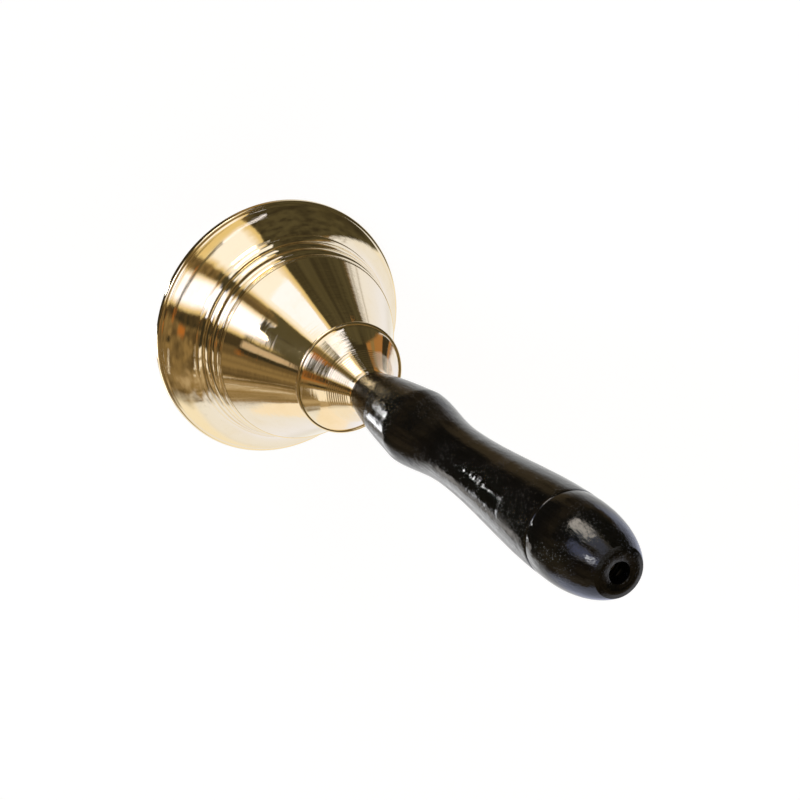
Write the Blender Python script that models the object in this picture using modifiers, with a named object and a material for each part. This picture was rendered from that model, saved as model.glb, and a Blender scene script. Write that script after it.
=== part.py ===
"""Hand bell: a turned brass bell and flared collar on a black lacquered wooden handle.

One steel tie rod runs the length of the handle. A nut in the handle's end pulls handle, collar and bell
together, and an eye formed on the rod's lower end hangs the clapper on a loose link.
The bell stands on its mouth, +Z runs up its axis, and the origin is the centre of the mouth.
"""

import math

import bmesh
import bpy

MM = 0.001
GAP = 0.3              # clearance between pieces that touch, in mm like every size below

# Bell
MOUTH_R = 50.0
LIP_R = 46.8           # inner edge of the flat lip
LIP_BAND = 3.0         # height of the band round the lip
LIP_EDGE = 0.7         # rounding of the band's two edges
LIP_SHOULDER, LIP_SHOULDER_H = 1.3, 0.6        # step from the band in to the flare
BEAD_LOW_Z = 14.3      # lower turned bead
BEAD_LOW_R = 39.6
BEAD_HIGH_Z = 28.2     # upper turned bead
BEAD_HIGH_R = 35.5
BEAD_H = 0.35          # how far a bead stands out
BEAD_FOOT, BEAD_TOP = 1.1, 0.4                 # width of a bead across its foot and its top
COVE_Z, COVE_DEPTH = 17.0, 0.25                # shallow hollow above the lower bead
BAND_LOW_Z, BAND_HIGH_Z = 19.3, 24.7           # raised band
BAND_H, BAND_EDGE = 0.3, 0.2
GROOVE_Z, GROOVE_DEPTH = 26.2, 0.3             # shallow groove above the band
FLARE_PULLS = ((41.8, 9.0), (45.4, 5.6))       # Bezier pull points (r, z) of the flare
CROWN_Z = 62.0
CROWN_R = 18.2
CROWN_THICK = 3.8
WALL = 3.2
CORNER_R = 2.0         # rounding of the crown's edge
INSIDE_FLARE_PULLS = ((44.2, 3.6), (38.8, 8.5))
CEILING_R, CEILING_CORNER_R = 13.0, 3.0        # flat ceiling inside the crown, and the curve round it

# Collar
COLLAR_Z = CROWN_Z + GAP
COLLAR_RIM_R = 21.2
COLLAR_RIM_H = 1.4
COLLAR_FOOT_R, COLLAR_FOOT_RISE = 19.7, 0.4    # foot of the cone, inside and above the rim's bead
COLLAR_TOP_Z = 81.0
COLLAR_TOP_R = 8.5
COLLAR_EDGE = 0.4
COLLAR_PULLS = ((11.4, 75.0), (14.8, 70.4))

# Handle
HANDLE_Z = COLLAR_TOP_Z + GAP
HANDLE_TOP_Z = 247.0
NECK_R = 8.3
RIDGE_Z, RIDGE_R = 116.8, 13.7
WAIST_Z, WAIST_R = 147.0, 10.7
PALM_Z, PALM_R = 221.0, 14.85
END_STRETCH = 31.2     # long half-axis of the egg that rounds the handle's end
END_FLAT_R = 7.2
END_BEVEL = 0.6        # height of the bevel round the flat end
RING_Z = 216.5         # incised ring, just below where the palm swell is widest
RING_DEPTH, RING_HALF = 0.3, 0.4
TENON_R, TENON_LEN = 5.3, 4.0
COUNTERBORE_R, COUNTERBORE_DEPTH = 3.6, 12.0
COUNTERBORE_CHAMFER = 0.4
NECK_EDGE = 0.3        # bevel where the neck meets the collar
SWELL_PULLS = ((PALM_R, 194.0), (WAIST_R, 172.0))
WAIST_PULLS = ((WAIST_R, 134.0), (RIDGE_R - 0.1, 125.0))
CONE_PULLS = ((RIDGE_R - 1.3, 105.0), (NECK_R + 2.9, 94.0))

# Tie rod and fasteners
ROD_R = 2.0
BORE_R = ROD_R + GAP
NUT_FLATS, NUT_H = 7.0, 3.2
NUT_CHAMFER = 0.6      # rise over run of the cone that turns off a hexagon's corners
WASHER_H = 0.8
CROWN_WASHER_R = 5.5
HANDLE_NUT_R = 3.3     # round, with a screwdriver slot, to fit the handle's counterbore
HANDLE_NUT_EDGE = 0.3
NUT_SLOT = 1.0         # width and depth of the slot
ROD_STICKOUT = 1.2     # thread left above the handle nut
HANGER_EYE_R, HANGER_WIRE_R = 4.1, 1.6
EYE_CLEARANCE = 0.4    # between the crown nut and the hanger eye

# Clapper
LINK_R, LINK_WIRE_R = 5.3, 1.1
CLAPPER_EYE_R, CLAPPER_WIRE_R = 3.7, 1.2
SHANK_R = 1.5
BALL_R, BALL_Z = 9.5, 14.2
JAM_NUT_FLATS, JAM_NUT_H = 5.5, 2.4
SHANK_END_Z = 5.4

# Heights that follow from the stack under the crown
CROWN_WASHER_TOP = CROWN_Z - CROWN_THICK - GAP
CROWN_NUT_TOP = CROWN_WASHER_TOP - WASHER_H - GAP
HANGER_EYE_Z = CROWN_NUT_TOP - NUT_H - EYE_CLEARANCE - HANGER_EYE_R - HANGER_WIRE_R
LINK_PIVOT_Z = HANGER_EYE_Z - HANGER_EYE_R + HANGER_WIRE_R + GAP + LINK_WIRE_R
CLAPPER_PIVOT_Z = LINK_PIVOT_Z - 2 * LINK_R + LINK_WIRE_R + GAP + CLAPPER_WIRE_R
CLAPPER_EYE_Z = CLAPPER_PIVOT_Z - CLAPPER_EYE_R

# Heights in the handle's counterbore
SEAT_Z = HANDLE_TOP_Z - COUNTERBORE_DEPTH
HANDLE_NUT_Z = SEAT_Z + GAP + WASHER_H + GAP
ROD_TOP_Z = HANDLE_NUT_Z + NUT_H + ROD_STICKOUT

BELL_STEPS = 48
TURN_STEPS = 36
SMALL_STEPS = 24
ROD_STEPS = 16
END_STEPS = 6
SHARP_ANGLE = 35       # degrees between faces that meet in a crisp edge


def clear_scene():
    for item in list(bpy.data.objects):
        bpy.data.objects.remove(item, do_unlink=True)


def make_collection(name, helpers=False):
    collection = bpy.data.collections.new(name)
    bpy.context.scene.collection.children.link(collection)
    collection.hide_render = helpers
    return collection


def make_material(name, color, roughness, metallic):
    material = bpy.data.materials.new(name)
    material.use_nodes = True
    shader = material.node_tree.nodes["Principled BSDF"]
    shader.inputs["Base Color"].default_value = (*color, 1.0)
    shader.inputs["Roughness"].default_value = roughness
    shader.inputs["Metallic"].default_value = metallic
    return material


def make_piece(name, mesh, material, collection):
    piece = bpy.data.objects.new(name, mesh)
    mesh.materials.append(material)
    collection.objects.link(piece)
    return piece


def arc(center, radius, start, end, count):
    """Points (r, z) on an arc, with its angles in degrees from +r towards +z."""
    points = []
    for i in range(count + 1):
        angle = math.radians(start + (end - start) * i / count)
        points.append((center[0] + radius * math.cos(angle), center[1] + radius * math.sin(angle)))
    return points


def curve(start, pull_start, pull_end, end, count):
    """Points on a cubic Bezier curve, without its first point."""
    points = []
    for i in range(1, count + 1):
        t = i / count
        weights = ((1 - t) ** 3, 3 * t * (1 - t) ** 2, 3 * t * t * (1 - t), t ** 3)
        corners = (start, pull_start, pull_end, end)
        points.append(tuple(sum(w * c[k] for w, c in zip(weights, corners)) for k in (0, 1)))
    return points


def bead(z, radius, slope):
    """A small bead across a wall at (radius, z) that widens downwards by slope, listed downwards."""
    foot, top = BEAD_FOOT / 2, BEAD_TOP / 2
    return [
        (radius - slope * foot, z + foot),
        (radius - slope * top + BEAD_H, z + top),
        (radius + slope * top + BEAD_H, z - top),
        (radius + slope * foot, z - foot),
    ]


def finish_round(piece):
    piece.data.shade_smooth()
    piece.data.set_sharp_from_angle(angle=math.radians(SHARP_ANGLE))


def turned(name, outline, material, collection, steps):
    """A closed outline (r, z), listed down the outer side and back up the bore, turned about Z."""
    mesh = bpy.data.meshes.new(name)
    points = [(r * MM, 0.0, z * MM) for r, z in outline]
    edges = [(i, (i + 1) % len(points)) for i in range(len(points))]
    mesh.from_pydata(points, edges, [])
    piece = make_piece(name, mesh, material, collection)
    screw = piece.modifiers.new("Turn", "SCREW")
    screw.axis = "Z"
    screw.steps = steps
    screw.render_steps = steps
    screw.use_merge_vertices = True
    screw.merge_threshold = 0.00001
    screw.use_smooth_shade = True
    return piece


def cylinder(name, radius, low, high, steps, material, collection):
    mesh = bpy.data.meshes.new(name)
    shape = bmesh.new()
    bmesh.ops.create_cone(
        shape, cap_ends=True, segments=steps,
        radius1=radius * MM, radius2=radius * MM, depth=(high - low) * MM,
    )
    bmesh.ops.translate(shape, verts=shape.verts, vec=(0.0, 0.0, (high + low) / 2 * MM))
    shape.to_mesh(mesh)
    shape.free()
    return make_piece(name, mesh, material, collection)


def torus(name, radius, wire, z, turn, material, collection, around=24, across=12):
    """A ring with its centre on the axis at z, in the XZ plane, or the YZ plane with turn True."""
    bpy.ops.mesh.primitive_torus_add(
        major_radius=radius * MM,
        minor_radius=wire * MM,
        major_segments=around,
        minor_segments=across,
        rotation=(math.radians(90), 0.0, math.radians(90) if turn else 0.0),
        location=(0.0, 0.0, z * MM),
    )
    piece = bpy.context.object
    piece.name = name
    piece.data.materials.append(material)
    for owner in list(piece.users_collection):
        owner.objects.unlink(piece)
    collection.objects.link(piece)
    return piece


def add_boolean(piece, tool, operation):
    modifier = piece.modifiers.new(operation.title(), "BOOLEAN")
    modifier.operation = operation
    modifier.solver = "EXACT"
    modifier.object = tool
    tool.display_type = "WIRE"
    tool.hide_render = True


def make_bell(material, collection):
    slope = (BEAD_LOW_R - BEAD_HIGH_R) / (BEAD_HIGH_Z - BEAD_LOW_Z)

    def wall(z, proud=0.0):
        """The point at height z between the beads, standing proud of the wall."""
        return (BEAD_HIGH_R + slope * (BEAD_HIGH_Z - z) + proud, z)

    low_bead = bead(BEAD_LOW_Z, BEAD_LOW_R, slope)
    outline = [(BORE_R, CROWN_Z)]
    outline += arc((CROWN_R - CORNER_R, CROWN_Z - CORNER_R), CORNER_R, 90, 27, 3)
    outline += bead(BEAD_HIGH_Z, BEAD_HIGH_R, slope)
    outline += [wall(GROOVE_Z, -GROOVE_DEPTH), wall(BAND_HIGH_Z + BAND_EDGE), wall(BAND_HIGH_Z, BAND_H)]
    outline += [wall(BAND_LOW_Z, BAND_H), wall(BAND_LOW_Z - BAND_EDGE), wall(COVE_Z, -COVE_DEPTH)]
    outline += low_bead
    outline += curve(low_bead[-1], *FLARE_PULLS, (MOUTH_R - LIP_SHOULDER, LIP_BAND + LIP_SHOULDER_H), 6)
    outline += arc((MOUTH_R - LIP_EDGE, LIP_BAND - LIP_EDGE), LIP_EDGE, 65, 0, 2)
    outline += arc((MOUTH_R - LIP_EDGE, LIP_EDGE), LIP_EDGE, 0, -90, 2)
    outline += [(LIP_R, 0.0)]
    outline += curve((LIP_R, 0.0), *INSIDE_FLARE_PULLS, (BEAD_LOW_R - WALL, BEAD_LOW_Z), 6)
    outline += [(BEAD_HIGH_R - WALL, BEAD_HIGH_Z)]
    ceiling = CROWN_Z - CROWN_THICK
    outline += arc((CEILING_R, ceiling - CEILING_CORNER_R), CEILING_CORNER_R, 25, 90, 4)
    outline += [(BORE_R, ceiling)]
    return turned("bell_body", outline, material, collection, BELL_STEPS)


def make_collar(material, collection):
    foot = (COLLAR_FOOT_R, COLLAR_Z + COLLAR_RIM_H + COLLAR_FOOT_RISE)
    neck = (COLLAR_TOP_R, COLLAR_TOP_Z - COLLAR_EDGE)
    rim = COLLAR_RIM_H / 2
    pocket_r, pocket_z = TENON_R + GAP, HANDLE_Z - TENON_LEN - GAP
    outline = [(pocket_r, COLLAR_TOP_Z), (COLLAR_TOP_R - COLLAR_EDGE, COLLAR_TOP_Z), neck]
    outline += curve(neck, *COLLAR_PULLS, foot, 7)
    outline += arc((COLLAR_RIM_R - rim, COLLAR_Z + rim), rim, 120, -90, 6)
    outline += [(BORE_R, COLLAR_Z), (BORE_R, pocket_z), (pocket_r, pocket_z)]
    return turned("collar", outline, material, collection, TURN_STEPS)


def handle_end():
    """Points down the handle's rounded end: a quarter of an ellipse, cut off at the bevel."""
    reach = math.asin((HANDLE_TOP_Z - END_BEVEL - PALM_Z) / END_STRETCH)
    points = []
    for i in range(END_STEPS + 1):
        angle = reach * (1 - i / END_STEPS)
        points.append((PALM_R * math.cos(angle), PALM_Z + END_STRETCH * math.sin(angle)))
    return points


def make_handle(material, collection):
    waist = (WAIST_R, WAIST_Z)
    ridge = (RIDGE_R, RIDGE_Z)
    neck = (NECK_R, HANDLE_Z + NECK_EDGE)
    swell = (PALM_R, RING_Z - RING_HALF)
    tenon_z = HANDLE_Z - TENON_LEN
    outline = [(COUNTERBORE_R + COUNTERBORE_CHAMFER, HANDLE_TOP_Z), (END_FLAT_R, HANDLE_TOP_Z)]
    outline += handle_end()
    outline += [(PALM_R, RING_Z + RING_HALF), (PALM_R - RING_DEPTH, RING_Z), swell]
    outline += curve(swell, *SWELL_PULLS, waist, 10)
    outline += curve(waist, *WAIST_PULLS, ridge, 7)
    outline += curve(ridge, *CONE_PULLS, neck, 6)
    outline += [(NECK_R - NECK_EDGE, HANDLE_Z), (TENON_R, HANDLE_Z), (TENON_R, tenon_z), (BORE_R, tenon_z)]
    outline += [(BORE_R, SEAT_Z), (COUNTERBORE_R, SEAT_Z)]
    outline += [(COUNTERBORE_R, HANDLE_TOP_Z - COUNTERBORE_CHAMFER)]
    return turned("handle", outline, material, collection, TURN_STEPS)


def make_washer(name, radius, low, material, collection):
    high = low + WASHER_H
    outline = [(BORE_R, high), (radius, high), (radius, low), (BORE_R, low)]
    return turned(name, outline, material, collection, SMALL_STEPS)


def make_nut(name, flats, bore_r, low, height, material, collection, cutters):
    """A hexagon nut: a prism, its corners turned off to a cone at both ends, bored through."""
    high = low + height
    nut = cylinder(name, flats / math.sqrt(3), low, high, 6, material, collection)
    edge_r = flats / 2
    outer_r = flats * 0.6
    drop = (outer_r - edge_r) * NUT_CHAMFER
    end_r = (edge_r + bore_r) / 2
    rise = (edge_r - end_r) * NUT_CHAMFER
    outline = [(bore_r, high + rise), (end_r, high + rise), (edge_r, high), (outer_r, high - drop)]
    outline += [(outer_r, low + drop), (edge_r, low), (end_r, low - rise), (bore_r, low - rise)]
    form = turned(name + "_form", outline, material, cutters, SMALL_STEPS)
    add_boolean(nut, form, "INTERSECT")
    return nut


def make_slotted_nut(material, collection, cutters):
    """A round nut with a screwdriver slot across its top."""
    high = HANDLE_NUT_Z + NUT_H
    outline = [(BORE_R, high), (HANDLE_NUT_R - HANDLE_NUT_EDGE, high), (HANDLE_NUT_R, high - HANDLE_NUT_EDGE)]
    outline += [(HANDLE_NUT_R, HANDLE_NUT_Z), (BORE_R, HANDLE_NUT_Z)]
    nut = turned("handle_nut", outline, material, collection, SMALL_STEPS)
    mesh = bpy.data.meshes.new("nut_slot")
    shape = bmesh.new()
    bmesh.ops.create_cube(shape, size=1.0)
    bmesh.ops.scale(shape, verts=shape.verts, vec=(3 * HANDLE_NUT_R * MM, NUT_SLOT * MM, 2 * NUT_SLOT * MM))
    bmesh.ops.translate(shape, verts=shape.verts, vec=(0.0, 0.0, high * MM))
    shape.to_mesh(mesh)
    shape.free()
    add_boolean(nut, make_piece("nut_slot", mesh, material, cutters), "DIFFERENCE")


def make_eye_rod(name, eye, rod, material, collection, cutters):
    """A round rod with a closed eye, joined into one solid. eye is (R, wire, z), rod (r, low, high)."""
    rod_r, low, high = rod
    piece = cylinder(name, rod_r, low, high, ROD_STEPS, material, collection)
    loop = torus(name + "_loop", *eye, False, material, cutters)
    add_boolean(piece, loop, "UNION")
    return piece


def make_ball(material, collection):
    bore = SHANK_R + GAP
    rise = math.degrees(math.acos(bore / BALL_R))
    outline = arc((0.0, BALL_Z), BALL_R, rise, -rise, 14)
    return turned("clapper_ball", outline, material, collection, TURN_STEPS)


def make_pivot(name, z, parent, collection):
    pivot = bpy.data.objects.new(name, None)
    pivot.empty_display_size = 0.005
    collection.objects.link(pivot)
    pivot.parent = parent
    pivot.location.z = z * MM - (parent.location.z if parent else 0.0)
    return pivot


def hang(piece, pivot, pivot_z):
    """Parents a piece modelled in place to the empty on its joint's axis."""
    piece.parent = pivot
    piece.location.z -= pivot_z * MM


def main():
    clear_scene()
    parts = make_collection("hand_bell")
    cutters = make_collection("cutters", helpers=True)
    brass = make_material("polished_brass", (0.84, 0.62, 0.27), 0.12, 1.0)
    wood = make_material("black_lacquer", (0.012, 0.011, 0.011), 0.14, 0.0)
    steel = make_material("plated_steel", (0.60, 0.58, 0.54), 0.28, 1.0)

    make_bell(brass, parts)
    make_collar(brass, parts)
    make_handle(wood, parts)

    make_washer("crown_washer", CROWN_WASHER_R, CROWN_WASHER_TOP - WASHER_H, steel, parts)
    make_washer("handle_washer", HANDLE_NUT_R, SEAT_Z + GAP, steel, parts)
    make_nut("crown_nut", NUT_FLATS, BORE_R, CROWN_NUT_TOP - NUT_H, NUT_H, steel, parts, cutters)
    make_slotted_nut(steel, parts, cutters)
    hanger = (HANGER_EYE_R, HANGER_WIRE_R, HANGER_EYE_Z)
    rod = (ROD_R, HANGER_EYE_Z + HANGER_EYE_R, ROD_TOP_Z)
    make_eye_rod("tie_rod", hanger, rod, steel, parts, cutters)

    link_pivot = make_pivot("link_pivot", LINK_PIVOT_Z, None, parts)
    link = torus("clapper_link", LINK_R, LINK_WIRE_R, LINK_PIVOT_Z - LINK_R, True, steel, parts)
    hang(link, link_pivot, LINK_PIVOT_Z)

    clapper_pivot = make_pivot("clapper_pivot", CLAPPER_PIVOT_Z, link_pivot, parts)
    eye = (CLAPPER_EYE_R, CLAPPER_WIRE_R, CLAPPER_EYE_Z)
    shank = (SHANK_R, SHANK_END_Z, CLAPPER_EYE_Z - CLAPPER_EYE_R)
    hang(make_eye_rod("clapper_shank", eye, shank, steel, parts, cutters), clapper_pivot, CLAPPER_PIVOT_Z)
    ball = make_ball(brass, parts)
    hang(ball, clapper_pivot, CLAPPER_PIVOT_Z)
    jam_nut_z = BALL_Z + BALL_R + GAP
    jam_nut = make_nut(
        "clapper_jam_nut", JAM_NUT_FLATS, SHANK_R + GAP, jam_nut_z, JAM_NUT_H, steel, parts, cutters
    )
    hang(jam_nut, clapper_pivot, CLAPPER_PIVOT_Z)

    for piece in parts.objects:
        if piece.type == "MESH" and not any(m.type == "SCREW" for m in piece.modifiers):
            finish_round(piece)


main()
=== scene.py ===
"""Polished brass hand bell with a black lacquered handle, standing on its mouth on a white floor.

Every shown piece but the slotted nut, which is its CAD node, is a finely turned or formed version of its CAD
node, in the same place, with a procedural material. Outlines are lists of (r, z) in millimetres, and the mesh
functions turn them into metres. The polished brass mirrors coloured cards round it: far ones in the world,
and near ones that are stage pieces the camera doesn't see.
"""

import math
import random

import bmesh
import bpy
from mathutils import Matrix, Vector


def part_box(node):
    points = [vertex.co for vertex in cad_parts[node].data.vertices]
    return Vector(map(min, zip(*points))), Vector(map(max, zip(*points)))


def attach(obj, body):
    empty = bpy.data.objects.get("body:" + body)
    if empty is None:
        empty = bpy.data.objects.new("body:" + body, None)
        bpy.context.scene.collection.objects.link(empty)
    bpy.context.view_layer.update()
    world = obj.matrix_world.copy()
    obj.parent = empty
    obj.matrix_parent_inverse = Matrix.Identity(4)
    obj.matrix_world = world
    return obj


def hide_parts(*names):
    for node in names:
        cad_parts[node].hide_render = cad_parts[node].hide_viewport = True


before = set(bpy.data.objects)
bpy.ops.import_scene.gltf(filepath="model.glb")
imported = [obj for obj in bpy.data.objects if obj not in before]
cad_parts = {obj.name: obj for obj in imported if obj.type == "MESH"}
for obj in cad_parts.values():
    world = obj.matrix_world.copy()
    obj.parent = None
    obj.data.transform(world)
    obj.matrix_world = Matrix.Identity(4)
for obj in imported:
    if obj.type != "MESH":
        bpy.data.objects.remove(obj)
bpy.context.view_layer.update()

MM = 0.001
GAP = 0.3                      # clearance that the CAD keeps between pieces that touch


def corners(node):
    """Lowest and highest corner of a CAD node, in millimetres."""
    low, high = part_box(node)
    return low / MM, high / MM


BELL_HIGH = corners("bell_body")[1]
COLLAR_LOW, COLLAR_HIGH = corners("collar")
HANDLE_LOW, HANDLE_HIGH = corners("handle")
ROD_HIGH = corners("tie_rod")[1]
LINK_LOW, LINK_HIGH = corners("clapper_link")
SHANK_LOW, SHANK_HIGH = corners("clapper_shank")
BALL_LOW, BALL_HIGH = corners("clapper_ball")

# Bell
MOUTH_R, CROWN_Z = BELL_HIGH.x, BELL_HIGH.z
LIP_R = 46.8
LIP_BAND, LIP_EDGE = 3.0, 0.7
BEAD_LOW_R, BEAD_LOW_Z = 39.6, 14.3
BEAD_HIGH_R, BEAD_HIGH_Z = 35.5, 28.2
BEAD_H = 0.28
# Turned detail between the beads, listed downwards: height, and how far it stands proud of the wall
GROOVE = ((27.2, -0.02), (26.9, -0.2), (26.2, -0.3), (25.4, -0.22), (25.0, -0.04))
BAND_TOP = ((24.85, 0.1), (24.7, 0.27), (24.5, 0.3))
BAND_LINE = ((22.35, 0.3), (22.2, 0.22), (22.1, 0.14), (22.0, 0.22), (21.85, 0.3))
BAND_FOOT = ((19.5, 0.3), (19.3, 0.27), (19.15, 0.1), (19.0, -0.02))
COVE = ((18.2, -0.18), (17.0, -0.26), (15.8, -0.18), (15.1, -0.05))
CROWN_R, CORNER_R = 18.2, 2.0
CROWN_THICK, WALL = 3.8, 3.2
ROD_R = 2.0
BORE_R = ROD_R + GAP
HANGER_EYE_R, HANGER_WIRE_R = 4.1, 1.6

# Clapper
CLAPPER_EYE_R, CLAPPER_WIRE_R = 3.7, 1.2
SHANK_R = 1.5

# Handle
NECK_R = 8.3
NECK_Z = COLLAR_HIGH.z + GAP
RIDGE_R, RIDGE_Z = 13.7, 116.8
WAIST_R, WAIST_Z = 10.7, 147.0
PALM_R, PALM_Z = HANDLE_HIGH.x, 221.0
RING_Z = 216.5
END_Z, END_FLAT_R, END_STRETCH = HANDLE_HIGH.z, 7.2, 31.2
TENON_R, TENON_Z = 5.3, HANDLE_LOW.z
COUNTERBORE_R, COUNTERBORE_DEPTH = 3.6, 12.0

# Nuts, across their flats
CROWN_NUT_FLATS, JAM_NUT_FLATS = 7.0, 5.5

# Steps round the axis of the turned pieces
FINE, BALL_STEPS, WASHER_STEPS = 192, 128, 96


# ---------------------------------------------------------------- outlines


def arc(center, radius, start, end, count):
    """Points on an arc, with its angles in degrees from +r towards +z."""
    points = []
    for i in range(count + 1):
        angle = math.radians(start + (end - start) * i / count)
        points.append((center[0] + radius * math.cos(angle), center[1] + radius * math.sin(angle)))
    return points


def curve(start, pull_start, pull_end, end, count):
    """Points on a cubic Bezier curve, without its first point."""
    points = []
    for i in range(1, count + 1):
        t = i / count
        weights = ((1 - t) ** 3, 3 * t * (1 - t) ** 2, 3 * t * t * (1 - t), t ** 3)
        ends = (start, pull_start, pull_end, end)
        points.append(tuple(sum(w * c[k] for w, c in zip(weights, ends)) for k in (0, 1)))
    return points


def straight(start, end, count):
    """Points on a straight line, without its first point."""
    return [tuple(s + (e - s) * i / count for s, e in zip(start, end)) for i in range(1, count + 1)]


# ---------------------------------------------------------------- meshes


def finish_mesh(name, shape, material, sharp=35):
    bmesh.ops.recalc_face_normals(shape, faces=shape.faces)
    mesh = bpy.data.meshes.new(name)
    shape.to_mesh(mesh)
    shape.free()
    mesh.shade_smooth()
    mesh.set_sharp_from_angle(angle=math.radians(sharp))
    mesh.materials.append(material)
    piece = bpy.data.objects.new(name, mesh)
    bpy.context.scene.collection.objects.link(piece)
    return piece


def turned(name, outline, material, steps=FINE, sharp=35):
    """A closed outline turned about Z. A point on the axis becomes a single vertex."""
    shape = bmesh.new()
    rows = []
    for r, z in outline:
        if r < 1e-6:
            rows.append([shape.verts.new((0.0, 0.0, z * MM))] * steps)
            continue
        row = []
        for k in range(steps):
            a = 2 * math.pi * k / steps
            row.append(shape.verts.new((r * MM * math.cos(a), r * MM * math.sin(a), z * MM)))
        rows.append(row)
    for low, high in zip(rows, rows[1:] + rows[:1]):
        for k in range(steps):
            ring = [low[k], low[(k + 1) % steps], high[(k + 1) % steps], high[k]]
            face = list(dict.fromkeys(ring))
            if len(face) > 2:
                shape.faces.new(face)
    return finish_mesh(name, shape, material, sharp)


def tube(name, path, radii, material, sides=32):
    """A round wire along path, a list of points in millimetres, with domed ends."""
    points = [Vector(p) for p in path]
    shape = bmesh.new()
    tangents = []
    for i in range(len(points)):
        tangents.append((points[min(i + 1, len(points) - 1)] - points[max(i - 1, 0)]).normalized())
    side = tangents[0].orthogonal().normalized()
    rows = []

    def ring(center, tangent, radius):
        up = tangent.cross(side)
        row = []
        for k in range(sides):
            a = 2 * math.pi * k / sides
            row.append(shape.verts.new((center + radius * (math.cos(a) * side + math.sin(a) * up)) * MM))
        rows.append(row)

    dome = (0.35, 0.75, 0.95)
    for share in dome:
        side = (side - tangents[0] * side.dot(tangents[0])).normalized()
        rise = radii[0] * 0.35 * (1 - math.sqrt(max(0.0, 1 - share ** 2)))
        ring(points[0] + tangents[0] * rise, tangents[0], radii[0] * share)
    for i, point in enumerate(points):
        if i in (0, len(points) - 1):
            continue
        side = (side - tangents[i] * side.dot(tangents[i])).normalized()
        ring(point, tangents[i], radii[i])
    for share in reversed(dome):
        side = (side - tangents[-1] * side.dot(tangents[-1])).normalized()
        rise = radii[-1] * 0.35 * (1 - math.sqrt(max(0.0, 1 - share ** 2)))
        ring(points[-1] - tangents[-1] * rise, tangents[-1], radii[-1] * share)
    for low, high in zip(rows, rows[1:]):
        for k in range(sides):
            shape.faces.new([low[k], low[(k + 1) % sides], high[(k + 1) % sides], high[k]])
    shape.faces.new(rows[0])
    shape.faces.new(rows[-1])
    return finish_mesh(name, shape, material, 50)


# ---------------------------------------------------------------- materials


class Nodes:
    """A material's node tree, with short calls for the nodes that the materials share."""

    def __init__(self, tree):
        self.tree = tree

    def add(self, kind, **settings):
        node = self.tree.nodes.new(kind)
        for key, value in settings.items():
            setattr(node, key, value)
        return node

    def put(self, socket, value):
        if isinstance(value, bpy.types.NodeSocket):
            self.tree.links.new(value, socket)
        else:
            socket.default_value = value

    def math(self, operation, *values, clamp=False):
        node = self.add("ShaderNodeMath", operation=operation, use_clamp=clamp)
        for socket, value in zip(node.inputs, values):
            self.put(socket, value)
        return node.outputs[0]

    def ramp(self, value, low, high, to_low=0.0, to_high=1.0, smooth=True):
        node = self.add("ShaderNodeMapRange", interpolation_type="SMOOTHSTEP" if smooth else "LINEAR")
        for socket, v in zip(node.inputs, (value, low, high, to_low, to_high)):
            self.put(socket, v)
        return node.outputs[0]

    def mix(self, share, a, b):
        node = self.add("ShaderNodeMix", data_type="RGBA")
        self.put(node.inputs["Factor"], share)
        self.put(node.inputs["A"], a)
        self.put(node.inputs["B"], b)
        return node.outputs["Result"]

    def noise(self, vector, scale, detail=3.0, roughness=0.55):
        node = self.add("ShaderNodeTexNoise")
        self.put(node.inputs["Vector"], vector)
        node.inputs["Scale"].default_value = scale
        node.inputs["Detail"].default_value = detail
        node.inputs["Roughness"].default_value = roughness
        return node.outputs["Fac"]

    def stretched(self, vector, scale):
        node = self.add("ShaderNodeVectorMath", operation="MULTIPLY")
        self.put(node.inputs[0], vector)
        node.inputs[1].default_value = scale
        return node.outputs[0]

    def place(self):
        """Object coordinates, in metres."""
        return self.add("ShaderNodeTexCoord").outputs["Object"]

    def lathe(self, place, wander):
        """Coordinates that stay nearly the same all round the axis, as marks left by a lathe do."""
        split = self.add("ShaderNodeSeparateXYZ")
        self.put(split.inputs[0], place)
        flat = self.add("ShaderNodeCombineXYZ")
        self.put(flat.inputs[0], split.outputs["X"])
        self.put(flat.inputs[1], split.outputs["Y"])
        length = self.add("ShaderNodeVectorMath", operation="LENGTH")
        self.put(length.inputs[0], flat.outputs[0])
        turn = self.math("ARCTAN2", split.outputs["Y"], split.outputs["X"])
        joined = self.add("ShaderNodeCombineXYZ")
        self.put(joined.inputs[0], length.outputs["Value"])
        self.put(joined.inputs[1], self.math("MULTIPLY", self.math("SINE", turn), wander))
        self.put(joined.inputs[2], split.outputs["Z"])
        return joined.outputs[0]

    def bump(self, height, strength, distance, below=None):
        node = self.add("ShaderNodeBump")
        node.inputs["Strength"].default_value = strength
        node.inputs["Distance"].default_value = distance
        self.put(node.inputs["Height"], height)
        if below is not None:
            self.put(node.inputs["Normal"], below)
        return node.outputs[0]


def new_material(name):
    material = bpy.data.materials.new(name)
    material.use_nodes = True
    return material, Nodes(material.node_tree), material.node_tree.nodes["Principled BSDF"]


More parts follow.
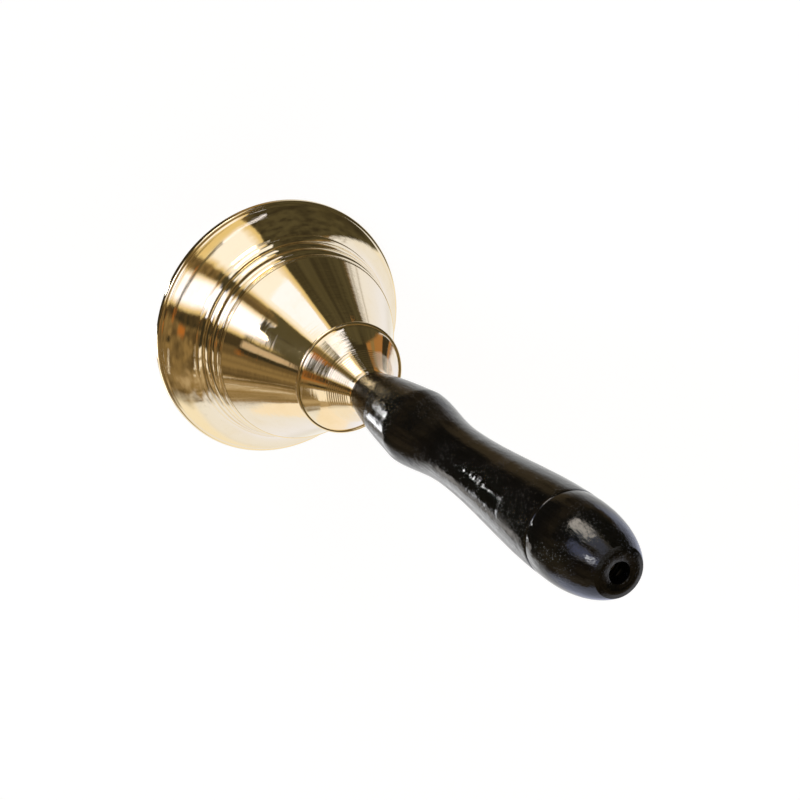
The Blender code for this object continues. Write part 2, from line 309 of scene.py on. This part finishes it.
def brass(name, color, deep, rough, marks, patina=0.5):
    """Turned and polished brass: fine marks round the axis, smudges, and a deeper colour in patches."""
    material, nodes, shader = new_material(name)
    place = nodes.place()
    rings = nodes.lathe(place, 0.0004)
    fine = nodes.noise(rings, 5200.0, 4.0, 0.7)
    coarse = nodes.noise(rings, 900.0, 3.0)
    smudge = nodes.noise(place, 85.0, 5.0, 0.62)
    cloud = nodes.ramp(smudge, 0.45, 0.72)
    shader.inputs["Metallic"].default_value = 1.0
    aged = nodes.math("MULTIPLY", cloud, patina)
    nodes.put(shader.inputs["Base Color"], nodes.mix(aged, (*color, 1), (*deep, 1)))
    worn = nodes.math("MULTIPLY", nodes.ramp(coarse, 0.4, 0.75), rough * 0.6)
    dull = nodes.math("MULTIPLY", cloud, rough * 0.9)
    nodes.put(shader.inputs["Roughness"], nodes.math("ADD", nodes.math("ADD", worn, dull), rough))
    first = nodes.bump(fine, 0.5 * marks, 0.00002)
    second = nodes.bump(coarse, 0.4 * marks, 0.00008, first)
    nodes.put(shader.inputs["Normal"], nodes.bump(nodes.noise(place, 40.0, 2.0), 0.25, 0.0008, second))
    return material


def lacquered_wood(name):
    """Black gloss lacquer over turned hardwood: the grain and small lumps show through the gloss."""
    material, nodes, shader = new_material(name)
    place = nodes.place()
    grain = nodes.noise(nodes.stretched(place, (1.0, 1.0, 0.07)), 1300.0, 4.0, 0.6)
    pores = nodes.ramp(nodes.noise(nodes.stretched(place, (1.0, 1.0, 0.15)), 2600.0, 2.0), 0.60, 0.72)
    lumps = nodes.noise(nodes.stretched(place, (1.0, 1.0, 0.5)), 330.0, 3.0, 0.6)
    dust = nodes.ramp(nodes.noise(place, 1900.0, 2.0), 0.62, 0.72)
    patches = nodes.ramp(nodes.noise(place, 60.0, 3.0), 0.42, 0.62)
    base = nodes.mix(nodes.ramp(grain, 0.35, 0.8), (0.0016, 0.0015, 0.0015, 1), (0.0042, 0.0037, 0.0034, 1))
    nodes.put(shader.inputs["Base Color"], base)
    nodes.put(shader.inputs["Roughness"], nodes.ramp(lumps, 0.3, 0.8, 0.045, 0.13))
    shader.inputs["Specular IOR Level"].default_value = 0.38
    first = nodes.bump(nodes.math("MULTIPLY", grain, patches), 0.6, 0.00022)
    second = nodes.bump(pores, -0.6, 0.00006, first)
    third = nodes.bump(nodes.math("MULTIPLY", dust, patches), 0.8, 0.00014, second)
    nodes.put(shader.inputs["Normal"], nodes.bump(lumps, 0.5, 0.00025, third))
    return material


def plated_steel(name, color, rough):
    """Zinc plated steel: a slightly mottled grey with drawing marks."""
    material, nodes, shader = new_material(name)
    place = nodes.place()
    mottle = nodes.noise(place, 900.0, 4.0, 0.6)
    drawn = nodes.noise(nodes.stretched(place, (1.0, 1.0, 0.1)), 4200.0, 3.0)
    darker = tuple(c * 0.72 for c in color)
    shader.inputs["Metallic"].default_value = 1.0
    patches = nodes.ramp(mottle, 0.3, 0.75)
    nodes.put(shader.inputs["Base Color"], nodes.mix(patches, (*color, 1), (*darker, 1)))
    nodes.put(shader.inputs["Roughness"], nodes.ramp(mottle, 0.25, 0.8, rough * 0.7, rough * 1.4))
    nodes.put(shader.inputs["Normal"], nodes.bump(drawn, 0.4, 0.00004))
    return material


# ---------------------------------------------------------------- pieces


def ridge_pair(z, radius, slope):
    """Two fine ridges with a groove between them, across a wall at (radius, z), listed downwards."""
    points = [(radius - slope * 0.55, z + 0.55)]
    for offset in (0.27, -0.27):
        for share, rise in ((0.2, 0.75), (0.07, 1.0), (-0.07, 1.0), (-0.2, 0.75)):
            points.append((radius + BEAD_H * rise - slope * (offset + share), z + offset + share))
        if offset > 0:
            points.append((radius + BEAD_H * 0.25, z))
    points.append((radius + slope * 0.55, z - 0.55))
    return points


def bead(z, radius, slope):
    """A small half-round ridge across a wall at (radius, z), listed downwards."""
    points = [(radius - slope * 0.55, z + 0.55)]
    for angle in range(70, -71, -20):
        a = math.radians(angle)
        points.append((radius + BEAD_H * math.cos(a) - slope * 0.42 * math.sin(a), z + 0.42 * math.sin(a)))
    points.append((radius + slope * 0.55, z - 0.55))
    return points


def bell_outline():
    slope = (BEAD_LOW_R - BEAD_HIGH_R) / (BEAD_HIGH_Z - BEAD_LOW_Z)

    def wall(z, proud):
        return (BEAD_HIGH_R + slope * (BEAD_HIGH_Z - z) + proud, z)

    corner = arc((CROWN_R - CORNER_R, CROWN_Z - CORNER_R), CORNER_R, 90, 27, 10)
    high = ridge_pair(BEAD_HIGH_Z, BEAD_HIGH_R, slope)
    low = bead(BEAD_LOW_Z, BEAD_LOW_R, slope)
    points = [(BORE_R, CROWN_Z)] + corner + straight(corner[-1], high[0], 14)[:-1] + high
    points += [wall(z, proud) for z, proud in GROOVE + BAND_TOP + BAND_LINE + BAND_FOOT + COVE]
    points += low
    points += curve(low[-1], (41.8, 9.0), (MOUTH_R - 4.6, 5.6), (MOUTH_R - 1.3, LIP_BAND + 0.6), 24)
    points += [(MOUTH_R - 1.15, LIP_BAND + 0.35), (MOUTH_R - 0.95, LIP_BAND + 0.12)]
    points += arc((MOUTH_R - LIP_EDGE, LIP_BAND - LIP_EDGE), LIP_EDGE, 75, 0, 6)
    points += arc((MOUTH_R - LIP_EDGE, LIP_EDGE), LIP_EDGE, 0, -90, 6)
    points += [(LIP_R + 0.25, 0.0), (LIP_R, 0.2)]
    inner = (BEAD_LOW_R - WALL, BEAD_LOW_Z)
    points += curve((LIP_R, 0.2), (LIP_R - 2.6, 3.6), (inner[0] + 2.4, 8.5), inner, 18)
    points += straight(inner, (BEAD_HIGH_R - WALL, BEAD_HIGH_Z), 6)
    ceiling = CROWN_Z - CROWN_THICK
    dome = arc((13.0, ceiling - 3.0), 3.0, 25, 90, 8)
    points += straight(points[-1], dome[0], 14)[:-1] + dome
    points += [(BORE_R, ceiling)]
    return points


def collar_outline():
    """The cone has shallow V grooves round its upper part, and ends in a small bead round the rim."""
    low, top = COLLAR_LOW.z, COLLAR_HIGH.z
    rim_r, half = COLLAR_HIGH.x, 0.7
    foot = (rim_r - 1.5, low + 1.8)
    neck = (NECK_R + 0.2, top - 0.4)
    cone = curve(neck, (neck[0] + 2.9, neck[1] - 5.6), (foot[0] - 4.9, foot[1] + 6.3), foot, 200)
    first, last, pitch, depth = 0.9, 10.8, 0.9, 0.06
    points = [(TENON_R + GAP, top), (neck[0] - 0.4, top), neck]
    travelled, previous = 0.0, neck
    for i, (r, z) in enumerate(cone):
        travelled += math.hypot(r - previous[0], z - previous[1])
        previous = (r, z)
        if travelled > last and i % 8 != 7:
            continue
        fade = min(1.0, max(0.0, travelled - first), max(0.0, (last - travelled) * 0.4))
        cut = depth * fade * (0.5 - 0.5 * math.cos(2 * math.pi * travelled / pitch)) ** 3
        points.append((r - cut, z - cut))
    points += [(foot[0] + 0.3, foot[1] - 0.35)]
    points += arc((rim_r - half, low + half), half, 118, -90, 16)
    points += [(BORE_R, low), (BORE_R, TENON_Z - GAP), (TENON_R + GAP, TENON_Z - GAP)]
    return points


def handle_outline():
    neck, ridge, waist = (NECK_R, NECK_Z + 0.3), (RIDGE_R, RIDGE_Z), (WAIST_R, WAIST_Z)
    bore_edge = COUNTERBORE_R + 0.4
    points = [(bore_edge, END_Z), (END_FLAT_R - 0.3, END_Z), (END_FLAT_R, END_Z - 0.06)]
    reach = math.asin((END_Z - 0.6 - PALM_Z) / END_STRETCH)
    for i in range(28):
        angle = reach * (1 - i / 27)
        points.append((PALM_R * math.cos(angle), PALM_Z + END_STRETCH * math.sin(angle)))
    points += [(PALM_R, RING_Z + 0.35), (PALM_R - 0.05, RING_Z + 0.16), (PALM_R - 0.13, RING_Z)]
    points += [(PALM_R - 0.05, RING_Z - 0.16), (PALM_R, RING_Z - 0.35)]
    points += curve(points[-1], (PALM_R, 194.0), (WAIST_R, 172.0), waist, 44)
    points += curve(waist, (WAIST_R, 134.0), (RIDGE_R - 0.1, 125.0), ridge, 26)
    points += curve(ridge, (RIDGE_R - 1.3, 105.0), (NECK_R + 2.9, 94.0), neck, 30)
    points += [(NECK_R - 0.3, NECK_Z), (TENON_R, NECK_Z), (TENON_R, TENON_Z), (BORE_R, TENON_Z)]
    seat = END_Z - COUNTERBORE_DEPTH
    points += [(BORE_R, seat), (COUNTERBORE_R, seat), (COUNTERBORE_R, END_Z - 0.5)]
    points += [(COUNTERBORE_R + 0.12, END_Z - 0.18)]
    return points


def ball_outline():
    """A sphere with a bore, a small flat at both ends and two fine turned rings."""
    center, radius, bore = (BALL_LOW.z + BALL_HIGH.z) / 2, BALL_HIGH.x, SHANK_R + GAP
    rise = math.degrees(math.acos((bore + 0.5) / radius))
    points = []
    for r, z in arc((0.0, center), radius, rise, -rise, 90):
        ring = min(abs(abs(z - center) - 2.6), 0.25) / 0.25
        share = 1 - 0.012 * (1 - ring)
        points.append((r * share, center + (z - center) * share))
    return [(bore, points[0][1] - 0.1)] + points + [(bore, points[-1][1] + 0.1)]


def washer_outline(node):
    low, high = corners(node)
    edge = 0.18
    points = arc((high.x - edge, high.z - edge), edge, 90, 0, 4)
    points += arc((high.x - edge, low.z + edge), edge, 0, -90, 4)
    points += [(BORE_R + 0.1, low.z), (BORE_R, low.z + 0.1)]
    return points + [(BORE_R, high.z - 0.1), (BORE_R + 0.1, high.z)]


def hex_nut(name, node, flats, bore, material):
    """A hexagon nut, its corners turned off at both ends, with a countersunk bore and a few thread rings."""
    low, high = corners(node)
    steps, face_r = 96, flats * 0.475
    shape = bmesh.new()
    rows = []

    def ring(z, radius):
        row = []
        for k in range(steps):
            a = 2 * math.pi * k / steps
            r = radius(a)
            rise = (r - face_r) * 0.5 if radius is hexagon else 0.0
            height = z + (rise if z < (low.z + high.z) / 2 else -rise)
            row.append(shape.verts.new((r * MM * math.cos(a), r * MM * math.sin(a), height * MM)))
        rows.append(row)

    def hexagon(a):
        return flats / 2 / math.cos((a + math.pi / 6) % (math.pi / 3) - math.pi / 6)

    ring(low.z, lambda a: face_r)
    ring(low.z, hexagon)
    ring(high.z, hexagon)
    ring(high.z, lambda a: face_r)
    ring(high.z, lambda a: bore + 0.45)
    turns = 5
    depth = high.z - low.z - 0.9
    for i in range(2 * turns + 1):
        ring(high.z - 0.45 - depth * i / (2 * turns), lambda a, i=i: bore + (0.14 if i % 2 else 0.0))
    ring(low.z, lambda a: bore + 0.45)
    for lower, upper in zip(rows, rows[1:] + rows[:1]):
        for k in range(steps):
            shape.faces.new([lower[k], lower[(k + 1) % steps], upper[(k + 1) % steps], upper[k]])
    return finish_mesh(name, shape, material, 25)


def threaded(low, high, radius, pitch):
    """Heights and radii of thread rings along a vertical rod."""
    points = []
    for i in range(int((high - low) / pitch)):
        for share, cut in ((0.0, 0.0), (0.2, 0.0), (0.5, 0.2), (0.7, 0.2)):
            points.append((low + (i + share) * pitch, radius - cut))
    return points


def eye_rod(name, node, eye_r, wire, rod_r, threads, up, material):
    """A rod whose end is bent into an eye with a small gap. Up is 1 if the rod rises from the eye."""
    low, high = corners(node)
    center = low.z + eye_r + wire if up > 0 else high.z - eye_r - wire
    far = high.z if up > 0 else low.z
    joint, last = math.radians(52), math.radians(300)
    path, radii = [], []
    for i in range(61):
        angle = last + (joint - last) * i / 60
        path.append((eye_r * math.sin(angle), 0.0, center + up * eye_r * math.cos(angle)))
        radii.append(wire)
    start, lift = path[-1], 1.3
    neck = center + up * (eye_r + 2.6)
    pull = (start[0] - lift * math.cos(joint), start[2] + up * lift * math.sin(joint))
    for r, z in curve((start[0], start[2]), pull, (0.0, neck - up * 1.5), (0.0, neck), 10):
        path.append((r, 0.0, z))
        radii.append(wire + (rod_r - wire) * abs(len(path) - 61) / 10)
    rings = [p for group in threads for p in threaded(*group, rod_r, 0.6) if up * (p[0] - neck) > 0.3]
    for z, r in sorted(rings, key=lambda p: up * p[0]):
        path.append((0.0, 0.0, z))
        radii.append(r)
    path.append((0.0, 0.0, far))
    radii.append(rod_r - 0.2)
    return tube(name, path, radii, material)


def link_ring():
    """A wire ring whose butted ends leave a fine gap at one side."""
    center, wire = (LINK_LOW.z + LINK_HIGH.z) / 2, LINK_HIGH.x
    radius = LINK_HIGH.y - wire
    path = []
    for i in range(97):
        a = math.radians(3 + 354 * i / 96)
        path.append((0.0, radius * math.cos(a), center + radius * math.sin(a)))
    return tube("wire_link", path, [wire] * len(path), rod_steel)


def add(piece, body, node):
    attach(piece, body)
    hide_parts(node)
    return piece


bell_brass = brass("bell_brass", (0.92, 0.76, 0.46), (0.89, 0.70, 0.37), 0.035, 0.6)
collar_brass = brass("collar_brass", (0.92, 0.76, 0.46), (0.89, 0.70, 0.36), 0.05, 0.6)
ball_brass = brass("ball_brass", (0.85, 0.64, 0.31), (0.70, 0.48, 0.20), 0.16, 1.6)
black_wood = lacquered_wood("black_lacquer")
rod_steel = plated_steel("rod_steel", (0.56, 0.54, 0.50), 0.30)
bright_steel = plated_steel("fastener_steel", (0.66, 0.64, 0.58), 0.26)

add(turned("brass_bell", bell_outline(), bell_brass), "bell", "bell_body")
add(turned("flared_collar", collar_outline(), collar_brass), "bell", "collar")
add(turned("wooden_handle", handle_outline(), black_wood), "bell", "handle")

rod_threads = [(CROWN_Z - 8.2, CROWN_Z - 2.0), (END_Z - COUNTERBORE_DEPTH, ROD_HIGH.z - 0.4)]
rod = eye_rod("hanger_rod", "tie_rod", HANGER_EYE_R, HANGER_WIRE_R, ROD_R, rod_threads, 1, rod_steel)
add(rod, "bell", "tie_rod")
shank_threads = [(SHANK_LOW.z + 0.4, SHANK_LOW.z + 3.0), (BALL_HIGH.z - 1.0, SHANK_HIGH.z - 10.2)]
shank = eye_rod(
    "eye_shank", "clapper_shank", CLAPPER_EYE_R, CLAPPER_WIRE_R, SHANK_R, shank_threads, -1, rod_steel)
add(shank, "clapper", "clapper_shank")
add(link_ring(), "link", "clapper_link")
add(turned("brass_ball", ball_outline(), ball_brass, BALL_STEPS), "clapper", "clapper_ball")
crown_nut = hex_nut("hex_crown_nut", "crown_nut", CROWN_NUT_FLATS, BORE_R, bright_steel)
add(crown_nut, "bell", "crown_nut")
jam_nut = hex_nut("hex_jam_nut", "clapper_jam_nut", JAM_NUT_FLATS, SHANK_R + GAP, bright_steel)
add(jam_nut, "clapper", "clapper_jam_nut")
for node in ("crown_washer", "handle_washer"):
    washer = turned("plain_" + node, washer_outline(node), bright_steel, WASHER_STEPS)
    add(washer, "bell", node)
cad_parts["handle_nut"].data.materials[0] = bright_steel


# ---------------------------------------------------------------- surroundings


# Camera, in metres, and its roll in degrees
CAMERA_PLACE, CAMERA_AIM = Vector((0.0, -0.46773, 0.79294)), Vector((-0.00446, 0.04632, 0.02923))
CAMERA_ROLL = 125.42

# Light of the surroundings, as linear colours
HOT = (1.40, 1.52, 2.25)
CORE = (1.15, 1.28, 1.90)
SOFTBOX = (1.12, 1.15, 1.40)
GOLDEN = (0.86, 0.70, 0.40)
SWEEP = (0.93, 0.98, 1.22)
SWEEP_HIGH = (1.00, 0.98, 1.00)
SWEEP_LOW = (0.92, 0.92, 0.91)
PEACH = (1.03, 0.97, 0.98)
CREAM = (1.04, 1.00, 1.05)
TAN = (0.50, 0.40, 0.28)
BRONZE = (0.60, 0.48, 0.38)
BROWN = (0.29, 0.205, 0.10)
DARK_BROWN = (0.10, 0.070, 0.035)
RUST = (0.40, 0.20, 0.075)
AMBER = (0.46, 0.17, 0.04)
OLIVE = (0.36, 0.31, 0.16)
DARK_OLIVE = (0.095, 0.083, 0.048)
NEAR_BLACK = (0.042, 0.035, 0.021)

# The cards were placed and coloured so that the bell's reflections follow those in the photograph.

# Soft-edged cards far round the bell, in degrees: azimuth from +Y towards +X, and elevation. Later ones cover
# earlier. A card with a second colour is mottled with it.
FAR_CARDS = [
    dict(color=BROWN, other=DARK_BROWN, middle=118, width=72, low=-34, high=62, soft=6, ragged=7),
    dict(color=TAN, other=BROWN, middle=95, width=14, low=-30, high=30, soft=6, ragged=8),
    dict(color=DARK_BROWN, other=BROWN, middle=112, width=24, low=10, high=44, soft=6, ragged=7),
    dict(color=AMBER, middle=133, width=8, low=9, high=22, soft=2.5, ragged=3),
    dict(color=NEAR_BLACK, middle=160, width=150, low=-82, high=-46, soft=8),
    dict(color=SWEEP_HIGH, middle=10, width=142, low=-2, high=36, soft=8, ragged=5),
    dict(color=SWEEP, middle=8, width=146, low=-46, high=4, soft=7, ragged=10, lean=0.15),
    dict(color=SWEEP_LOW, middle=0, width=150, low=-64, high=-43, soft=7, soft_across=20),
    dict(color=NEAR_BLACK, other=DARK_OLIVE, middle=-110, width=116, low=-40, high=60, soft=3, lean=1.0,
         ragged=2),
    dict(color=NEAR_BLACK, other=DARK_BROWN, middle=143, width=12, low=-30, high=60, soft=1.5,
         ragged=1.5),
    dict(color=GOLDEN, middle=164, width=31, low=-15, high=57, soft=1.3, lean=-0.08, ragged=1.0),
    dict(color=HOT, middle=165, width=23, low=-22, high=50, soft=4, lean=-0.08, ragged=1.0),
    dict(color=GOLDEN, middle=-150, width=42, low=-15, high=50, soft=1.0, ragged=1.5),
    dict(color=SOFTBOX, middle=-151, width=32, low=-24, high=36, soft=4, ragged=2.5),
    dict(color=(16.0, 16.0, 16.5), middle=163, width=9, low=-3, high=8, soft=1.0),
    dict(color=(8.8, 8.0, 7.0), middle=-149, width=24, low=-33, high=-12, soft=1.5, ragged=0.6),
    dict(color=(2.0, 2.0, 2.0), middle=-72, width=16, low=64, high=76, soft=3),
    dict(color=(1.9, 1.9, 1.9), middle=60, width=36, low=-62, high=-50, soft=3, ragged=2),
    dict(color=(1.7, 1.6, 1.5), middle=90, width=18, low=-60, high=-54, soft=2.0),
    dict(color=(8.0, 8.0, 8.2), middle=91, width=20, low=-70, high=-62, soft=1.5),
    dict(color=(24.0, 24.0, 24.0), middle=145, width=7, low=-75, high=-64, soft=0.8),
    dict(color=(1.1, 1.1, 1.1), middle=0, width=400, low=82, high=95, soft=5),
]

# Hard-edged cards close round the bell, which the camera doesn't see. Each has its colour, and then rows of
# height in millimetres and azimuth from and to. Later ones are closer. The flank, the collar and the band
# above the lower bead each have a group, and a group shows only to rays of about the length from there to it.
FLANK_CARDS = [
    (CORE, (4, 199, 221), (30, 197, 225), (48, 199, 223)),
    (NEAR_BLACK, (-4, 149, 156), (26, 149, 155)),
    (BRONZE, (16, 142, 149), (44, 139, 147)),
    (NEAR_BLACK, (-6, 137, 141), (46, 135, 140)),
    (AMBER, (7, 133, 137), (13, 133.5, 138.5)),
    (DARK_OLIVE, (4, 184, 192), (17, 180, 191), (24, 172, 190), (31, 158, 190), (35, 149, 190),
     (60, 148, 190)),
    (NEAR_BLACK, (6, 185, 191), (20, 180, 189), (30, 166, 182), (48, 158, 168)),
]
COLLAR_CARDS = [
    (OLIVE, (70, 186, 222), (94, 192, 226), (99, 198, 236), (101, 206, 232)),
    (DARK_OLIVE, (60, 174, 188), (102, 172, 198), (106, 160, 206), (118, 156, 206)),
    (HOT, (100, 204, 240), (112, 204, 242)),
    (NEAR_BLACK, (109, 144, 176), (124, 142, 177)),
    (AMBER, (113, 139, 147), (121, 138, 149)),
    (AMBER, (116, 172, 180), (126, 170, 182)),
    (HOT, (60, 156, 172), (88, 158, 173), (108, 160, 175)),
    (BROWN, (60, 123, 136), (130, 120, 134)),
    (NEAR_BLACK, (60, 128, 133), (100, 125, 130), (130, 124, 128)),
    (CREAM, (36, 94, 123), (110, 104, 120)),
    (TAN, (30, 84, 94), (100, 86, 99)),
    (PEACH, (-40, 18, 84), (60, 40, 86)),
    (NEAR_BLACK, (50, 238, 266), (112, 242, 269)),
    (RUST, (10, 266, 302), (90, 270, 298)),
    (BROWN, (10, 278, 286), (90, 278, 284)),
    (NEAR_BLACK, (-10, 302, 313), (60, 300, 311)),
    (RUST, (-15, 313, 326), (60, 311, 326)),
    (NEAR_BLACK, (-10, 317, 320), (60, 315, 317)),
]
BAND_CARDS = [
    (CREAM, (-98, 110, 127), (-50, 110, 126)),
    (TAN, (-98, 97, 110), (-50, 97, 110)),
    (NEAR_BLACK, (-98, 127, 148), (-50, 126, 148)),
    (HOT, (-98, 151, 178), (-50, 151, 178)),
    (SOFTBOX, (-98, 189, 233), (-44, 189, 233)),
    (BROWN, (-98, 116, 118), (-50, 116, 118)),
]


def painted_reflection_streaks(count):
    """Thin uneven glowing streaks across the edge between the brown side and the white sweep: painted
    reflection streaks that show only in the bell's flank.
    """
    spread = random.Random(3)
    cards = []
    for i in range(count):
        azimuth = 85 + 29 * (i + spread.uniform(-0.8, 0.8)) / count
        low, width = spread.uniform(-60, 0), spread.uniform(0.4, 1.3)
        lean = spread.uniform(-2.0, 2.0)
        color = spread.choice((BROWN, BROWN, TAN, BRONZE, CREAM, DARK_BROWN))
        high = low + spread.uniform(25, 70)
        top = (high, azimuth + lean, azimuth + lean + width * 0.4)
        cards.append((color, (low, azimuth, azimuth + width), top))
    return cards


def card_share(nodes, uneven, azimuth, elevation, middle, width, low, high, soft, soft_across=None, lean=0.0,
               ragged=0.0):
    """How much of this direction a card covers. Lean tilts its sides, and ragged makes its edges uneven."""
    off = nodes.math("SUBTRACT", azimuth, nodes.math("MULTIPLY_ADD", elevation, lean, middle))
    off = nodes.math("ABSOLUTE", nodes.math("WRAP", off, -180.0, 180.0))
    if ragged:
        off = nodes.math("MULTIPLY_ADD", uneven, 4.0 * ragged, off)
    across_soft = soft_across or soft
    across = nodes.ramp(off, width / 2 - across_soft, width / 2 + across_soft, 1.0, 0.0)
    above = nodes.ramp(elevation, low - soft, low + soft)
    below = nodes.ramp(elevation, high - soft, high + soft, 1.0, 0.0)
    return nodes.math("MULTIPLY", across, nodes.math("MULTIPLY", above, below))


def make_world():
    """A studio round the bell: two softboxes, a white sweep, a dark side and a warm side."""
    world = bpy.data.worlds.new("studio")
    bpy.context.scene.world = world
    world.use_nodes = True
    tree = world.node_tree
    tree.nodes.clear()
    nodes = Nodes(tree)
    direction = nodes.add("ShaderNodeTexCoord").outputs["Generated"]
    split = nodes.add("ShaderNodeSeparateXYZ")
    nodes.put(split.inputs[0], direction)
    azimuth = nodes.math("DEGREES", nodes.math("ARCTAN2", split.outputs["X"], split.outputs["Y"]))
    elevation = nodes.math("DEGREES", nodes.math("ARCSINE", split.outputs["Z"]))
    mottled = nodes.ramp(nodes.noise(direction, 5.0, 4.0, 0.6), 0.35, 0.65)
    uneven = nodes.noise(nodes.stretched(direction, (1.0, 1.0, 0.35)), 9.0, 5.0, 0.65)
    uneven = nodes.math("SUBTRACT", uneven, 0.5)
    color = nodes.mix(mottled, (*BROWN, 1.0), (*DARK_BROWN, 1.0))
    for item in FAR_CARDS:
        place = {key: value for key, value in item.items() if key not in ("color", "other")}
        share = card_share(nodes, uneven, azimuth, elevation, **place)
        shown = (*item["color"], 1.0)
        if "other" in item:
            shown = nodes.mix(mottled, shown, (*item["other"], 1.0))
        color = nodes.mix(share, color, shown)
    light = nodes.add("ShaderNodeBackground")
    nodes.put(light.inputs["Color"], color)
    backdrop = nodes.add("ShaderNodeBackground")
    nodes.put(backdrop.inputs["Color"], (1.0, 1.0, 1.0, 1.0))
    path = nodes.add("ShaderNodeLightPath")
    both = nodes.add("ShaderNodeMixShader")
    nodes.put(both.inputs[0], path.outputs["Is Camera Ray"])
    nodes.put(both.inputs[1], light.outputs[0])
    nodes.put(both.inputs[2], backdrop.outputs[0])
    out = nodes.add("ShaderNodeOutputWorld")
    nodes.put(out.inputs["Surface"], both.outputs[0])


def glowing(name, color, nearest, reach):
    """Light of a near card, seen only by rays between two lengths, so only one part of the bell has it."""
    material = bpy.data.materials.new(name)
    material.use_nodes = True
    tree = material.node_tree
    tree.nodes.clear()
    nodes = Nodes(tree)
    glow = nodes.add("ShaderNodeEmission")
    nodes.put(glow.inputs["Color"], (*color, 1.0))
    length = nodes.add("ShaderNodeLightPath").outputs["Ray Length"]
    off = nodes.math("ABSOLUTE", nodes.math("SUBTRACT", length, (nearest + reach) / 2 * MM))
    beyond = nodes.math("GREATER_THAN", off, (reach - nearest) / 2 * MM)
    both = nodes.add("ShaderNodeMixShader")
    nodes.put(both.inputs[0], beyond)
    nodes.put(both.inputs[1], glow.outputs[0])
    nodes.put(both.inputs[2], nodes.add("ShaderNodeBsdfTransparent").outputs[0])
    nodes.put(nodes.add("ShaderNodeOutputMaterial").inputs["Surface"], both.outputs[0])
    material.cycles.emission_sampling = "NONE"
    return material


def between(rows, z):
    """A card's start and end azimuth at height z."""
    for low, high in zip(rows, rows[1:]):
        if z <= high[0]:
            break
    share = (z - low[0]) / (high[0] - low[0])
    return [low[k] + (high[k] - low[k]) * share for k in (1, 2)]


def make_near_cards(name, cards, radius, nearest, reach):
    """Curved cards round the axis, whose sides are slightly ragged."""
    uneven = random.Random(7)
    shape = bmesh.new()
    colors = []
    for number, (color, *rows) in enumerate(cards):
        if color not in colors:
            colors.append(color)
        distance = (radius - 0.2 * number) * MM
        count = max(1, round(rows[-1][0] - rows[0][0]))
        columns = max(2, round((rows[0][2] - rows[0][1]) / 4))
        lines = []
        for i in range(count + 1):
            z = rows[0][0] + (rows[-1][0] - rows[0][0]) * i / count
            start, end = (edge + uneven.uniform(-0.25, 0.25) for edge in between(rows, z))
            line = []
            for k in range(columns + 1):
                a = math.radians(start + (end - start) * k / columns)
                line.append(shape.verts.new((distance * math.sin(a), distance * math.cos(a), z * MM)))
            lines.append(line)
        for low, high in zip(lines, lines[1:]):
            for k in range(columns):
                face = shape.faces.new([low[k], low[k + 1], high[k + 1], high[k]])
                face.material_index = colors.index(color)
    mesh = bpy.data.meshes.new(name)
    shape.to_mesh(mesh)
    shape.free()
    for i, color in enumerate(colors):
        mesh.materials.append(glowing(f"{name}_{i}", color, nearest, reach))
    group = bpy.data.objects.new(name, mesh)
    bpy.context.scene.collection.objects.link(group)
    for ray in ("camera", "diffuse", "shadow", "transmission", "volume_scatter"):
        setattr(group, "visible_" + ray, False)


def make_floor():
    material, nodes, shader = new_material("white_floor")
    shader.inputs["Base Color"].default_value = (0.3, 0.3, 0.3, 1.0)
    shader.inputs["Roughness"].default_value = 0.9
    shader.inputs["Specular IOR Level"].default_value = 0.0
    shader.inputs["Emission Color"].default_value = (1.0, 1.0, 1.0, 1.0)
    shader.inputs["Emission Strength"].default_value = 0.9
    shape = bmesh.new()
    bmesh.ops.create_circle(shape, cap_ends=True, segments=64, radius=4.0)
    floor = finish_mesh("floor", shape, material)
    floor.visible_glossy = False


def make_camera():
    data = bpy.data.cameras.new("camera")
    data.sensor_width, data.lens = 36.0, 108.0
    data.clip_start, data.clip_end = 0.05, 20.0
    camera = bpy.data.objects.new("camera", data)
    turn = (CAMERA_AIM - CAMERA_PLACE).to_track_quat("-Z", "Y").to_matrix().to_4x4()
    roll = Matrix.Rotation(math.radians(CAMERA_ROLL), 4, "Z")
    camera.matrix_world = Matrix.Translation(CAMERA_PLACE) @ turn @ roll
    bpy.context.scene.collection.objects.link(camera)
    bpy.context.scene.camera = camera


make_world()
# The flank group also holds thin glowing streak cards, which paint streaked reflections on the flank.
make_near_cards("flank_cards", painted_reflection_streaks(34) + FLANK_CARDS, radius=210.0, nearest=172.5, reach=194.0)
make_near_cards("collar_cards", COLLAR_CARDS, radius=200.0, nearest=184.0, reach=212.0)
make_near_cards("band_cards", BAND_CARDS, radius=220.0, nearest=170.0, reach=235.0)
make_floor()
make_camera()
bpy.context.scene.view_settings.view_transform = "Standard"
